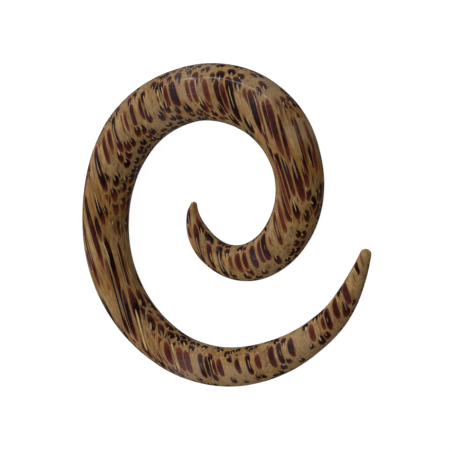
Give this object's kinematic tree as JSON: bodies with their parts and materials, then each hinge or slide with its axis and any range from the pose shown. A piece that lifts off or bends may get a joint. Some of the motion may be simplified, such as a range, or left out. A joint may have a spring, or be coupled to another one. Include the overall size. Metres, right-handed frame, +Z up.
{
  "type": "spiral ear taper",
  "caption": "Spiral ear taper carved from solid palm wood: a round rod curled into a flat spiral, thickest along its outer turn and pointed at its tips.",
  "frame": {"origin": "middle of the box's lower face, on the surface that the spiral lies on", "axes": "+Z up from the surface, through the flat of the spiral; +Y from the bottom of the outer turn to its top; +X to the right, towards the outer tip"},
  "size_m": [0.0552, 0.0546, 0.01],
  "materials": {
    "palm_wood": "polished palm wood, tan with dark brown flecks, under a thin clear wax"
  },
  "bodies": {
    "root": {"spiral_taper": "palm_wood"}
  },
  "joints": []
}
